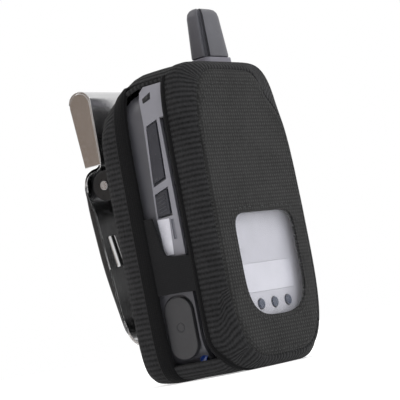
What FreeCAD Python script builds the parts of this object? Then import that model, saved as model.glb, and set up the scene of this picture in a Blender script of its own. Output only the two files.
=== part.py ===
import FreeCAD, Part
import os
import Sketcher

# A folding two-way radio telephone in its fitted fabric case, with a sprung steel belt clip.
# Millimetres. +X is the right side seen from the front, the front faces -Y and +Z is up.
# The origin is the middle of the case's flat base.

doc = FreeCAD.newDocument("FoldingHandset")

SIZES = {
    # handset body
    "phone_half": 26, "phone_low": 3, "phone_high": 96, "phone_back": 12.5, "phone_corner": 11,
    "body_front": -3.8, "housing_split": 1.5, "housing_top": 83.8, "wall": 1.5,
    "cavity_half": 22.6, "cavity_low": 5.5, "cavity_high": 82, "divider_front": 5.2,
    "battery_half": 21.8, "battery_low": 11, "battery_high": 78, "battery_front": 6.4, "door_front": 11.3,
    "fit_gap": 0.3,
    # folding cover of the handset
    "flip_half": 25.6, "flip_low": 3.6, "flip_high": 83.2, "flip_front": -14.5, "flip_split": -9.3,
    "flip_back": -4.8, "flip_wall": 1.3, "flip_corner": 11,
    "hinge_y": -8.5, "hinge_z": 89.5, "knuckle_radius": 5.6, "knuckle_inner": 16,
    "barrel_half": 15.6, "barrel_radius": 5.4, "pin_radius": 2.4, "running_gap": 0.05,
    # keys
    "key_front": -4.2, "key_back": -2.2, "key_half_width": 5.4, "key_half_height": 3.1, "key_corner": 1.6,
    "key_pitch_x": 14, "key_pitch_z": 8.5, "key_row": 12, "nav_z": 56, "nav_radius": 8.5, "nav_inner": 4.3,
    "ok_radius": 3.9, "call_x": 17, "call_z": 48,
    # left side of the body
    "side_skin": -24.6, "side_low": 40,
    # aerial
    "aerial_x": 15.3, "aerial_y": 0.2, "collar_low": 93, "collar_high": 105, "aerial_high": 122.6,
    "aerial_half_width": 8, "aerial_half_depth": 4.1, "tip_half_width": 5.2, "tip_half_depth": 3.1,
    "whip_y": 1.6, "whip_radius": 0.7, "whip_low": 48,
    # carry case
    "case_half": 29, "case_front": -18.1, "case_back": 18.1, "case_high": 100.7,
    "case_corner": 12, "rear_corner": 6,
    "fabric": 1.6, "cover_high": 78, "cover_edge": -8.2, "rear_edge": 8.5, "rear_high": 84,
    "gusset_thick": 1.2, "base_edge": -7.5, "binding_high": 5,
    # belt clip
    "clip_half": 20, "sheet_thick": 1, "pivot_y": 28.9, "pivot_z": 68.6, "pivot_radius": 1.5,
    "plate_half": 15, "plate_low": 30, "plate_high": 76, "plate_thick": 1.5, "ear_radius": 5,
}

sheet = doc.addObject("Spreadsheet::Sheet", "Sizes")
for line, (alias, number) in enumerate(SIZES.items(), start=1):
    sheet.set("A%d" % line, alias)
    sheet.set("B%d" % line, str(number))
    sheet.setAlias("B%d" % line, alias)
doc.recompute()

nodes = {}


def cells(expression):
    """Puts the sheet's name before each alias, so that expressions stay short to read."""
    text = str(expression)
    for alias in sorted(SIZES, key=len, reverse=True):
        text = text.replace(alias, "<<%s>>" % alias.upper())
    for alias in SIZES:
        text = text.replace("<<%s>>" % alias.upper(), "Sizes.%s" % alias)
    return text


def number(expression):
    """The value that an expression has with the sheet as it stands."""
    return float(sheet.evalExpression(cells(expression)))


def part(node, thing):
    """Names an object as one finished piece."""
    thing.Label = node
    nodes[node] = thing
    return thing


# ---- sketches -----------------------------------------------------------------------------------

PLANES = {"X": "YZ_Plane", "Y": "XZ_Plane", "Z": "XY_Plane"}


def new_sketch(body, axis, place):
    """A sketch across one axis, at a place along it."""
    plane = [o for o in body.Origin.OriginFeatures if o.Role == PLANES[axis]][0]
    sketch = body.newObject("Sketcher::SketchObject", "Outline")
    sketch.AttachmentSupport = [(plane, "")]
    sketch.MapMode = "FlatFace"
    # The XZ plane's normal is -Y, so a place along +Y is a negative offset.
    sign = "-1" if axis == "Y" else "1"
    sketch.setExpression("AttachmentOffset.Base.z", "%s * (%s)" % (sign, cells(place)))
    return sketch


def hold_point(sketch, curve, end, across, up):
    """Fixes one point of a curve at sheet-driven coordinates."""
    for kind, place in (("DistanceX", across), ("DistanceY", up)):
        index = sketch.addConstraint(Sketcher.Constraint(kind, -1, 1, curve, end, number(place)))
        sketch.setExpression("Constraints[%d]" % index, cells(place))


def draw_polygon(sketch, corners):
    """Straight edges through corners, given as pairs of expressions."""
    points = [FreeCAD.Vector(number(a), number(b), 0) for a, b in corners]
    count = len(points)
    first = sketch.GeometryCount
    for i in range(count):
        sketch.addGeometry(Part.LineSegment(points[i], points[(i + 1) % count]), False)
    for i in range(count):
        following = first + (i + 1) % count
        sketch.addConstraint(Sketcher.Constraint("Coincident", first + i, 2, following, 1))
        hold_point(sketch, first + i, 1, *corners[i])


def draw_disc(sketch, across, up, radius):
    centre = FreeCAD.Vector(number(across), number(up), 0)
    circle = Part.Circle(centre, FreeCAD.Vector(0, 0, 1), number(radius))
    curve = sketch.addGeometry(circle, False)
    index = sketch.addConstraint(Sketcher.Constraint("Radius", curve, number(radius)))
    sketch.setExpression("Constraints[%d]" % index, cells(radius))
    hold_point(sketch, curve, 3, across, up)


def draw_rounded(sketch, left, right, low, high, radius):
    """A rectangle with round corners: four arcs held by their centres, joined by tangent lines."""
    a, b, c, d, r = [number(e) for e in (left, right, low, high, radius)]
    quarter = FreeCAD.Units.Quantity("90 deg").getValueAs("rad").Value
    centres = [
        ("(%s) - (%s)" % (right, radius), "(%s) - (%s)" % (high, radius), b - r, d - r, 0),
        ("(%s) + (%s)" % (left, radius), "(%s) - (%s)" % (high, radius), a + r, d - r, 1),
        ("(%s) + (%s)" % (left, radius), "(%s) + (%s)" % (low, radius), a + r, c + r, 2),
        ("(%s) - (%s)" % (right, radius), "(%s) + (%s)" % (low, radius), b - r, c + r, 3),
    ]
    first = sketch.GeometryCount
    for _, _, across, up, turn in centres:
        circle = Part.Circle(FreeCAD.Vector(across, up, 0), FreeCAD.Vector(0, 0, 1), r)
        sketch.addGeometry(Part.ArcOfCircle(circle, turn * quarter, (turn + 1) * quarter), False)
    lines = [((b - r, d), (a + r, d)), ((a, d - r), (a, c + r)),
             ((a + r, c), (b - r, c)), ((b, c + r), (b, d - r))]
    for start, end in lines:
        sketch.addGeometry(Part.LineSegment(FreeCAD.Vector(*start, 0), FreeCAD.Vector(*end, 0)), False)
    for i in range(4):
        arc, line_after, next_arc = first + i, first + 4 + i, first + (i + 1) % 4
        sketch.addConstraint(Sketcher.Constraint("Tangent", arc, 2, line_after, 1))
        sketch.addConstraint(Sketcher.Constraint("Tangent", line_after, 2, next_arc, 1))
        index = sketch.addConstraint(Sketcher.Constraint("Radius", arc, r))
        sketch.setExpression("Constraints[%d]" % index, cells(radius))
        hold_point(sketch, arc, 3, centres[i][0], centres[i][1])


DRAW = {"polygon": draw_polygon, "disc": draw_disc, "rounded": draw_rounded}


def draw(sketch, outlines):
    for kind, *values in outlines:
        DRAW[kind](sketch, *values)


# ---- solids -------------------------------------------------------------------------------------

def slab(name, axis, low, high, outlines, pockets=()):
    """A PartDesign body: outlines padded from low to high along an axis, then pockets cut from it.

    Each pocket is (low, high, outlines) along the same axis."""
    body = doc.addObject("PartDesign::Body", name)
    # Pads follow the plane's normal: -Y for the XZ plane, so that pad starts from its high side.
    sketch = new_sketch(body, axis, high if axis == "Y" else low)
    draw(sketch, outlines)
    pad = body.newObject("PartDesign::Pad", "Pad")
    pad.Profile = sketch
    pad.setExpression("Length", "(%s) - (%s)" % (cells(high), cells(low)))
    for pocket_low, pocket_high, shapes in pockets:
        doc.recompute()
        before = body.Shape.Volume
        sketch = new_sketch(body, axis, pocket_low if axis == "Y" else pocket_high)
        draw(sketch, shapes)
        pocket = body.newObject("PartDesign::Pocket", "Pocket")
        pocket.Profile = sketch
        pocket.setExpression("Length", "(%s) - (%s)" % (cells(pocket_high), cells(pocket_low)))
        doc.recompute()
        if not body.Shape.Volume < before:
            raise RuntimeError("%s: a pocket cuts nothing" % name)
    doc.recompute()
    return body


def fuse(name, pieces):
    joined = doc.addObject("Part::MultiFuse", name)
    joined.Shapes = pieces
    joined.Refine = True
    doc.recompute()
    return joined


def cut(name, base, tools):
    """Base minus each tool, as a chain of Part cuts."""
    for tool in tools:
        remaining = doc.addObject("Part::Cut", name)
        remaining.Base = base
        remaining.Tool = tool
        base = remaining
    doc.recompute()
    return base


def loft(name, sections):
    """A PartDesign loft along Z through rounded rectangles, each (z, left, right, front, back, radius)."""
    body = doc.addObject("PartDesign::Body", name)
    sketches = []
    for place, *edges in sections:
        sketch = new_sketch(body, "Z", place)
        draw_rounded(sketch, *edges)
        sketches.append(sketch)
    solid = body.newObject("PartDesign::AdditiveLoft", "Loft")
    solid.Profile = sketches[0]
    solid.Sections = sketches[1:]
    solid.Ruled = True
    doc.recompute()
    return body


def thick_line(points, thickness):
    """The outline of a line of points with its thickness added on the left of its direction."""
    shifted = []
    for i, point in enumerate(points):
        before, after = points[max(i - 1, 0)], points[min(i + 1, len(points) - 1)]
        along = FreeCAD.Vector(after[0] - before[0], after[1] - before[1], 0).normalize()
        shifted.append((point[0] - along.y * thickness, point[1] + along.x * thickness))
    return [(y, z) for y, z in points] + shifted[::-1]


# ---- side keys, side frame and accessory socket -------------------------------------------------

UPPER_WINDOW = [(2.1, 82.6), (-2.6, 84.0), (-1.9, 64.6), (3.6, 62.9)]
LOWER_WINDOW = [(3.7, 60.5), (-1.9, 62.2), (-1.7, 52.9), (4.2, 52.7)]
VOLUME_KEY = [(1.5, 81.8), (-2.1, 83.0), (-1.5, 65.4), (3.1, 64.0)]
TALK_KEY = [(3.3, 59.8), (-1.5, 61.3), (-1.3, 53.6), (3.8, 53.3)]
# The silver frame is a straight plate with rails, joined to a round cap over the hinge.
FRAME_OUTLINE = [
    ("body_front", "side_low"), (4.2, "side_low"), (4.8, 53), (2.9, 84.2), (2.9, 91.2), (2.2, 93.6),
    (0.4, "hinge_z + knuckle_radius"), ("hinge_y", "hinge_z + knuckle_radius"),
    ("hinge_y", "hinge_z - knuckle_radius"), ("body_front", 84.4),
]
HINGE_CAP = ("disc", "hinge_y", "hinge_z", "knuckle_radius")
PATCH_SLOT = [(-1.9, 45.3), (-0.6, 45.3), (-0.6, 51.8), (-1.9, 51.8)]
PORTHOLE = [(1.5, 91.5), (-2.0, 93.0), (-1.6, 90.8), (1.5, 89.9)]

frame_block = fuse("FrameBlock", [
    slab("FrameSpace", "X", "-phone_half - 1", "side_skin", [("polygon", FRAME_OUTLINE)]),
    slab("CapSpace", "X", "-phone_half - 1", "side_skin", [HINGE_CAP])])
frame_plate = slab(
    "FramePlate", "X", "-phone_half", "side_skin", [("polygon", FRAME_OUTLINE)],
    [("-phone_half", "side_skin", [("polygon", UPPER_WINDOW), ("polygon", LOWER_WINDOW)]),
     ("-phone_half", "side_skin - 0.6", [("polygon", PATCH_SLOT), ("polygon", PORTHOLE)])])
hinge_cap = slab("HingeCap", "X", "-phone_half", "side_skin", [HINGE_CAP])
part("left_side_frame", fuse("LeftSideFrame", [frame_plate, hinge_cap]))
part("volume_rocker", slab("VolumeRocker", "X", -26.2, -25.1, [("polygon", VOLUME_KEY)]))
part("talk_key", slab("TalkKey", "X", -26.4, -25.3, [("polygon", TALK_KEY)]))

COVER_SHAPE = ("rounded", -2.5, 8.1, 7.2, 27, 4.9)
SOCKET_SHAPE = ("rounded", -1.5, 4.5, 11, 23, 1)
part("connector_cover", slab("ConnectorCover", "X", -26.9, -25.3, [COVER_SHAPE]))
SOCKET_WELL = ("rounded", -0.6, 3.6, 12, 22, 0.6)
part("accessory_connector", slab(
    "AccessoryConnector", "X", -25, -20.9, [SOCKET_SHAPE], [(-25, -22.5, [SOCKET_WELL])]))
cover_recess = slab("CoverRecess", "X", -27, -25, [("rounded", -3.1, 8.7, 6.6, 27.6, 5.2)])
socket_opening = slab("SocketOpening", "X", -26, -20, [SOCKET_SHAPE])

# ---- aerial -------------------------------------------------------------------------------------


def aerial_section(place, half_width, half_depth, radius):
    return (place, "aerial_x - (%s)" % half_width, "aerial_x + (%s)" % half_width,
            "aerial_y - (%s)" % half_depth, "aerial_y + (%s)" % half_depth, radius)


WHIP_HOLE = ("disc", "aerial_x", "whip_y", "whip_radius + running_gap")
WHIP_WAY = ("disc", "aerial_x", "whip_y", "whip_radius + 0.5")
collar_block = loft("CollarBlock", [
    aerial_section("collar_low", "aerial_half_width", "aerial_half_depth", 1.8),
    aerial_section("collar_high", "aerial_half_width - 0.4", "aerial_half_depth - 0.2", 1.8)])
collar_bore = slab("CollarBore", "Z", "collar_low - 1", "collar_high + 1", [WHIP_HOLE])
part("antenna_collar", cut("AntennaCollar", collar_block, [collar_bore]))
part("antenna_cap", loft("AntennaCap", [
    aerial_section("collar_high + 0.2", "aerial_half_width - 0.5", "aerial_half_depth - 0.3", 1.8),
    aerial_section("aerial_high - 2.4", "tip_half_width + 0.3", "tip_half_depth + 0.2", 1.6),
    aerial_section("aerial_high", "tip_half_width - 1.4", "tip_half_depth - 1.0", 1.2)]))
part("antenna_whip", slab(
    "AntennaWhip", "Z", "whip_low", "collar_high + 0.2", [("disc", "aerial_x", "whip_y", "whip_radius")]))
SOCKET_SLEEVE = ("disc", "aerial_x", "whip_y", 2)
part("antenna_socket", slab(
    "AntennaSocket", "Z", 84.5, "collar_low", [SOCKET_SLEEVE], [(84.5, "collar_low", [WHIP_HOLE])]))
socket_block = slab("SocketBlock", "Z", 84.5, "collar_low", [SOCKET_SLEEVE])
whip_way = slab("WhipWay", "Z", 80, 86, [WHIP_WAY])

# ---- hinge pins and screws ----------------------------------------------------------------------

HINGE_PIN = ("disc", "hinge_y", "hinge_z", "pin_radius")
pins = [slab("LeftPin", "X", -24.4, -12, [HINGE_PIN]), slab("RightPin", "X", 12, 24.4, [HINGE_PIN])]
part("hinge_pins", doc.addObject("Part::Compound", "HingePins")).Links = pins

SCREW_SPOTS = [(-23.6, 34), (23.6, 34), (-23.6, 80), (23.6, 80)]


def screw(x, z):
    shank = slab("Shank", "Y", -2, 10.9, [("disc", x, z, 0.7)])
    head = slab("Head", "Y", 10.9, 11.9, [("disc", x, z, 1.3)], [(11.4, 11.9, [("disc", x, z, 0.6)])])
    return fuse("Screw", [shank, head])


screws = [screw(x, z) for x, z in SCREW_SPOTS]
part("housing_screws", doc.addObject("Part::Compound", "HousingScrews")).Links = screws
screw_space = slab("ScrewSpace", "Y", -2, 10.9, [("disc", x, z, 0.7) for x, z in SCREW_SPOTS])
head_space = slab("HeadSpace", "Y", 10.9, 12.6, [("disc", x, z, 1.3) for x, z in SCREW_SPOTS])

# ---- rear housing -------------------------------------------------------------------------------

BODY_SHAPE = ("rounded", "-phone_half", "phone_half", "phone_low", "phone_high", "phone_corner")
BATTERY_SHAPE = ("rounded", "-battery_half - 0.2", "battery_half + 0.2",
                 "battery_low - 0.2", "battery_high + 0.2", 2)
CAVITY_SHAPE = ("rounded", "-cavity_half", "cavity_half", "cavity_low", "cavity_high", 8)

rear_shell = slab(
    "RearShell", "Y", "housing_split", "phone_back", [BODY_SHAPE],
    [("housing_split", "divider_front", [CAVITY_SHAPE]), ("battery_front", "phone_back", [BATTERY_SHAPE])])
# The upper end reaches forward to the hinge and its corners follow the body's outline.
upper_profile = slab("UpperProfile", "X", "-phone_half", "phone_half", [("polygon", [
    ("hinge_y", 84), ("housing_split", 84), ("housing_split", "phone_high"),
    ("hinge_y", "hinge_z + knuckle_radius")])])
upper_outline = slab("UpperOutline", "Y", -15, 13, [BODY_SHAPE])
KNUCKLE = ("disc", "hinge_y", "hinge_z", "knuckle_radius")
knuckles = [
    slab("LeftKnuckle", "X", "-phone_half", "-knuckle_inner", [KNUCKLE]),
    slab("RightKnuckle", "X", "knuckle_inner", "phone_half", [KNUCKLE])]
upper_block = doc.addObject("Part::Common", "UpperBlock")
upper_block.Base = fuse("UpperEnd", [upper_profile] + knuckles)
upper_block.Tool = upper_outline
barrel_space = slab("BarrelSpace", "X", "-barrel_half - 0.4", "barrel_half + 0.4", [
    ("disc", "hinge_y", "hinge_z", "barrel_radius + 0.5")])
swing_space = slab("SwingSpace", "X", "-barrel_half - 0.4", "barrel_half + 0.4", [
    ("polygon", [(-16, 80), (-4.6, 80), (-4.6, 97), (-16, 97)])])
# The back of the upper end falls away in a wide slope.
back_slope = slab("BackSlope", "X", "-phone_half - 1", "phone_half + 1", [("polygon", [
    ("phone_back + 1", 82), ("phone_back", 84), (11.5, 88), (8.5, 92), (3, "phone_high"), (3, 98),
    ("phone_back + 1", 98)])])
housing_block = fuse("HousingBlock", [rear_shell, upper_block])
part("rear_housing", cut("RearHousing", housing_block, [
    barrel_space, swing_space, back_slope, frame_block, cover_recess, socket_opening, collar_block,
    socket_block, whip_way, fuse("PinSpace", pins), screw_space, head_space]))

# ---- front housing and keypad -------------------------------------------------------------------

DIGITS = [("star", -1, 0), ("zero", 0, 0), ("hash", 1, 0), ("7", -1, 1), ("8", 0, 1), ("9", 1, 1),
          ("4", -1, 2), ("5", 0, 2), ("6", 1, 2), ("1", -1, 3), ("2", 0, 3), ("3", 1, 3)]


def digit_key(column, row, margin):
    x = "%d * key_pitch_x" % column
    z = "key_row + %d * key_pitch_z" % row
    return ("rounded", "%s - key_half_width - %s" % (x, margin), "%s + key_half_width + %s" % (x, margin),
            "%s - key_half_height - %s" % (z, margin), "%s + key_half_height + %s" % (z, margin),
            "key_corner")


def call_key(side, margin):
    x = "%d * call_x" % side
    return ("rounded", "%s - 5 - %s" % (x, margin), "%s + 5 + %s" % (x, margin),
            "call_z - 2.9 - %s" % margin, "call_z + 2.9 + %s" % margin, "key_corner")


front_shape = ("rounded", "-phone_half", "phone_half", "phone_low", "phone_high", "phone_corner")
key_holes = [digit_key(column, row, "fit_gap") for _, column, row in DIGITS]
key_holes += [call_key(side, "fit_gap") for side in (-1, 1)]
key_holes.append(("disc", 0, "nav_z", "nav_radius + fit_gap"))
front_shell = slab(
    "FrontShell", "Y", "body_front", "housing_split", [front_shape],
    [("body_front + wall", "housing_split", [CAVITY_SHAPE]), ("body_front", "body_front + wall", key_holes)])
above_front = slab("AboveFront", "Y", "body_front - 1", "housing_split", [("polygon", [
    (-30, "housing_top"), (30, "housing_top"), (30, 110), (-30, 110)])])
part("front_housing", cut("FrontHousing", front_shell, [
    above_front, frame_block, cover_recess, socket_opening, whip_way, screw_space]))

for label, column, row in DIGITS:
    part("key_" + label, slab("DigitKey", "Y", "key_front", "key_back", [digit_key(column, row, "0")]))
part("key_call", slab("CallKey", "Y", "key_front", "key_back", [call_key(-1, "0")]))
part("key_end", slab("EndKey", "Y", "key_front", "key_back", [call_key(1, "0")]))
part("key_navigation", slab(
    "NavigationRing", "Y", "key_front", "key_back",
    [("disc", 0, "nav_z", "nav_radius"), ("disc", 0, "nav_z", "nav_inner")]))
part("key_select", slab("SelectKey", "Y", "key_front", "key_back", [("disc", 0, "nav_z", "ok_radius")]))
part("keypad_mat", slab("KeypadMat", "Y", -1.7, -1.1, [("rounded", -20, 20, 7, 67, 7)]))

# ---- inside the body ----------------------------------------------------------------------------

part("main_board", slab("MainBoard", "Y", -0.9, 0.1, [("rounded", -20.6, 22.2, 6.2, 81.5, 8)]))
part("radio_shield", slab("RadioShield", "Y", 0.1, 1.9, [("rounded", -19, 9, 38, 64, 1)]))
part("card_holder", slab("CardHolder", "Y", 0.1, 2.5, [("rounded", -8, 16, 12, 28, 1)]))
part("loudspeaker", slab("Loudspeaker", "Y", 1.5, 4.9, [("disc", 0, 73, 7)]))
part("vibration_motor", slab("VibrationMotor", "Z", 67, 77, [("disc", -15, 3.2, 1.6)]))
part("battery_pack", slab(
    "BatteryPack", "Y", "battery_front + 0.2", "door_front - 0.1",
    [("rounded", "-battery_half", "battery_half", "battery_low", "battery_high", 2)]))
part("battery_door", slab(
    "BatteryDoor", "Y", "door_front", "phone_back",
    [("rounded", "-battery_half", "battery_half", "battery_low", "battery_high", 2)]))

# ---- folding cover of the handset ---------------------------------------------------------------

FLIP_SHAPE = ("rounded", "-flip_half", "flip_half", "flip_low", "flip_high", "flip_corner")
FLIP_CAVITY = ("rounded", "-flip_half + flip_wall", "flip_half - flip_wall", "flip_low + flip_wall",
               "flip_high - flip_wall", "flip_corner - flip_wall")
SMALL_DISPLAY = ("rounded", -12.4, 16.6, 24, 33.4, 1.2)
SMALL_KEYS_X = [-5, 3, 11]
SMALL_KEY_Z = 20
LARGE_DISPLAY = ("rounded", -18, 18, 26, 68, 2)

part("flip_outer_shell", slab(
    "FlipOuterShell", "Y", "flip_front", "flip_split", [FLIP_SHAPE],
    [("flip_front + flip_wall", "flip_split", [FLIP_CAVITY]),
     ("flip_front", "flip_front + flip_wall",
      [SMALL_DISPLAY] + [("disc", x, SMALL_KEY_Z, 1.9) for x in SMALL_KEYS_X])]))
inner_shell = slab(
    "InnerShell", "Y", "flip_split", "flip_back", [FLIP_SHAPE],
    [("flip_split", "flip_back - flip_wall", [FLIP_CAVITY]),
     ("flip_back - flip_wall", "flip_back", [LARGE_DISPLAY] + [("rounded", x - 0.5, x + 0.5, 74, 78, 0.4)
                                                             for x in (-3, -1, 1, 3)])])
barrel = slab("Barrel", "X", "-barrel_half", "barrel_half", [("disc", "hinge_y", "hinge_z", "barrel_radius")])
neck = slab("Neck", "X", -15, 15, [("polygon", [
    ("flip_split", 82.5), ("flip_back - 0.4", 82.5), ("flip_back - 0.4", "hinge_z - 3"),
    ("flip_split", "hinge_z")])])
front_neck = slab("FrontNeck", "X", -15, 15, [("polygon", [
    (-13.2, "flip_high"), ("flip_split", "flip_high"), ("flip_split", "hinge_z"), (-13.2, "hinge_z")])])
PIN_HOLE = ("disc", "hinge_y", "hinge_z", "pin_radius + running_gap")
barrel_bores = [slab("LeftBore", "X", -16, -11.9, [PIN_HOLE]), slab("RightBore", "X", 11.9, 16, [PIN_HOLE])]
flip_rear = fuse("FlipBack", [inner_shell, neck, front_neck, barrel])
part("flip_inner_shell", cut("FlipInnerShell", flip_rear, barrel_bores))
part("small_display", slab("SmallDisplay", "Y", -14.6, -12, [SMALL_DISPLAY]))
part("large_display", slab("LargeDisplay", "Y", -8, -6.1, [("rounded", -19, 19, 25, 69, 2)]))
part("large_display_lens", slab("LargeDisplayLens", "Y", -6.1, -4.9, [LARGE_DISPLAY]))
part("earpiece", slab("Earpiece", "Y", -8, -6.1, [("disc", 0, 76, 4.5)]))
part("flip_board", slab("FlipBoard", "Y", -10.4, -9.4, [("rounded", -22, 22, 8, 80, 3)]))
for i, x in enumerate(SMALL_KEYS_X, start=1):
    part("small_key_%d" % i, slab("SmallKey", "Y", -15, -13, [("disc", x, SMALL_KEY_Z, 1.6)]))

# ---- fabric case: cover that folds with the handset ---------------------------------------------

CASE_SHAPE = ("rounded", "-case_half", "case_half", "0", "cover_high + 20", "case_corner")
CASE_INSIDE = ("rounded", "-case_half + fabric", "case_half - fabric", "fabric", "cover_high + 18",
               "case_corner - fabric")
WINDOW_SHAPE = ("rounded", -16.5, 18.5, 16, 49.5, 5)

above_cover = slab("AboveCover", "Y", -19, -5, [("polygon", [
    (-30, "cover_high"), (30, "cover_high"), (30, 110), (-30, 110)])])
part("case_front_panel", cut("CaseFrontPanel", slab(
    "FrontPanel", "Y", "case_front", "case_front + fabric", [CASE_SHAPE],
    [("case_front", "case_front + fabric", [WINDOW_SHAPE])]), [above_cover]))
part("case_window", slab("CaseWindow", "Y", "case_front + 0.6", "case_front + 1.1", [WINDOW_SHAPE]))
part("case_front_strip", cut("CaseFrontStrip", slab(
    "FrontStrip", "Y", "case_front + fabric", "cover_edge", [CASE_SHAPE],
    [("case_front + fabric", "cover_edge", [CASE_INSIDE])]), [above_cover]))

# ---- fabric case: the half that holds the handset -----------------------------------------------

RIVETS = [(x, z) for x in (-10, 10) for z in (36, 50)]
RIVET_RADIUS = 1.5
rivet_shanks = [("disc", x, z, RIVET_RADIUS) for x, z in RIVETS]
above_rear = slab("AboveRear", "Y", -19, 19, [("polygon", [
    (-30, "rear_high"), (30, "rear_high"), (30, 110), (-30, 110)])])
REAR_SHAPE = ("rounded", "-case_half", "case_half", "0", "cover_high + 20", "rear_corner")
REAR_INSIDE = ("rounded", "-case_half + fabric", "case_half - fabric", "fabric", "cover_high + 18",
               "rear_corner - fabric")
part("case_back_panel", cut("CaseBackPanel", slab(
    "BackPanel", "Y", "case_back - fabric", "case_back", [REAR_SHAPE],
    [("case_back - fabric", "case_back", rivet_shanks)]), [above_rear]))
rear_ring = slab(
    "RearRing", "Y", "rear_edge", "case_back - fabric", [REAR_SHAPE],
    [("rear_edge", "case_back - fabric", [REAR_INSIDE])])
base_ring = slab(
    "BaseRing", "Y", "base_edge", "rear_edge", [REAR_SHAPE], [("base_edge", "rear_edge", [REAR_INSIDE])])
above_binding = slab("AboveBinding", "Y", "base_edge - 1", "rear_edge", [("polygon", [
    (-30, "binding_high"), (30, "binding_high"), (30, 110), (-30, 110)])])
part("case_rear_strip", fuse("CaseRearStrip", [
    cut("RearHalf", rear_ring, [above_rear]), cut("Base", base_ring, [above_binding])]))

GUSSET = [("rear_edge", 28.5), ("rear_edge", 52.7), (4.8, 52.7), (2.5, 40.3), (-4.9, 39.3), (-7.4, 39.3),
          (-7.4, 27.7)]
part("case_left_gusset", slab(
    "LeftGusset", "X", "-case_half + 0.6", "-case_half + 0.6 + gusset_thick", [("polygon", GUSSET)]))
part("case_right_gusset", slab(
    "RightGusset", "X", "case_half - 0.6 - gusset_thick", "case_half - 0.6", [("polygon", GUSSET)]))

# The band over the top bends when the cover opens. The aerial comes out through its hole.
BAND_LINE = [(-18.1, 78.3), (-18.1, 93), (-16, 98), (-12, 100.3), (-8, 100.7), (-2, 100), (5, 97.8),
             (10.5, 94.2), (15, 90), (18.1, 86), (18.1, 84.1)]
BAND_CORNER = 14
band = slab("Band", "X", "-case_half", "case_half", [
    ("polygon", thick_line(BAND_LINE[::-1], SIZES["fabric"]))])
band_outline = slab("BandOutline", "Y", -19, 19, [
    ("rounded", "-case_half", "case_half", 40, "case_high", BAND_CORNER)])
aerial_hole = slab("AerialHole", "Z", 90, 110, [
    ("rounded", "aerial_x - aerial_half_width - 0.4", "aerial_x + aerial_half_width + 0.4",
     "aerial_y - aerial_half_depth - 0.4", "aerial_y + aerial_half_depth + 0.4", 2)])
band_common = doc.addObject("Part::Common", "BandCommon")
band_common.Base = band
band_common.Tool = band_outline
part("case_top_hinge", cut("CaseTopHinge", band_common, [aerial_hole]))

# ---- belt clip ----------------------------------------------------------------------------------

PIVOT = ("disc", "pivot_y", "pivot_z", "pivot_radius")
PIVOT_HOLE = ("disc", "pivot_y", "pivot_z", "pivot_radius + running_gap")
EAR_SHAPE = ("rounded", "case_back + 0.2", "pivot_y + ear_radius", "pivot_z - ear_radius",
             "pivot_z + ear_radius", "ear_radius - 0.01")
BASE_EARS = ((-18.2, -16.8), (16.8, 18.2))
LEVER_EARS = ((-16.2, -15.2), (15.2, 16.2))
clip_plate = slab(
    "ClipPlate", "Y", "case_back", "case_back + plate_thick",
    [("rounded", "-plate_half - 3.2", "plate_half + 3.2", "plate_low", "plate_high", 5)],
    [("case_back", "case_back + plate_thick", rivet_shanks)])
ear_foot = ("polygon", [("case_back + 0.2", "pivot_z - ear_radius"), (26, "pivot_z - ear_radius"),
                        (26, "pivot_z + ear_radius"), ("case_back + 0.2", "pivot_z + ear_radius")])
ears = []
for low_x, high_x in BASE_EARS:
    ears.append(slab("BaseEar", "X", low_x, high_x, [EAR_SHAPE], [(low_x, high_x, [PIVOT])]))
    ears.append(slab("EarFoot", "X", low_x, high_x, [ear_foot]))
part("clip_base", fuse("ClipBase", [clip_plate] + ears))
part("clip_pin", slab("ClipPin", "X", -18.8, 18.8, [PIVOT]))

# The lever is bent from one sheet: down behind the thumb tab's rolled top, back over the pivot, and
# down the jaw.
TAB_LINE = [(36.1, 95.5), (36.1, 98.2), (34.6, 100.4), (29, 100.4), (27.4, 98.4), (27.4, 76)]
WEB_LINE = [(28.5, 78), (28.4, 76), (31, 75.4), (34.8, 73.8), (35.9, 72), (35.9, 70)]
JAW_LINE = [(35.9, 72), (35.9, 62), (35.2, 51.7), (34.2, 41.3), (32.3, 30.8), (30.3, 22), (28.5, 17.4),
            (25.8, 14.8), (22.4, 14.3), (19.2, 16.2)]
RETURN_LINE = JAW_LINE[1:6]
RETURN_DEPTH = 3
FLANGE = TAB_LINE[:-1] + [(27.4, 76.1), (34.4, 76.1)]

steel = SIZES["sheet_thick"]
lever_pieces = [
    slab("Tab", "X", "-clip_half", "clip_half", [("polygon", thick_line(TAB_LINE, steel))]),
    slab("Web", "X", -16.2, 16.2, [("polygon", thick_line(WEB_LINE[::-1], steel))]),
    slab("Jaw", "X", "-clip_half", "clip_half", [("polygon", thick_line(JAW_LINE[::-1], steel))])]
for low_x, high_x in (("-clip_half", "-clip_half + sheet_thick"), ("clip_half - sheet_thick", "clip_half")):
    lever_pieces.append(slab("Flange", "X", low_x, high_x, [("polygon", FLANGE)]))
    returns = [(y - RETURN_DEPTH, z) for y, z in RETURN_LINE[::-1]]
    lever_pieces.append(slab("Return", "X", low_x, high_x, [("polygon", RETURN_LINE + returns)]))
LEVER_EAR = [(28.4, 76), (26, 73), (24.6, 69), (26, 65), (29, 64.2), (32.5, 65.4), (36, 70), (36, 72),
             (35, 73.6)]
for low_x, high_x in LEVER_EARS:
    lever_pieces.append(slab("LeverEar", "X", low_x, high_x, [("polygon", LEVER_EAR)]))
pivot_space = slab("PivotSpace", "X", -21, 21, [PIVOT_HOLE])
part("clip_lever", cut("ClipLever", fuse("LeverBlank", lever_pieces), [pivot_space]))

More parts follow.
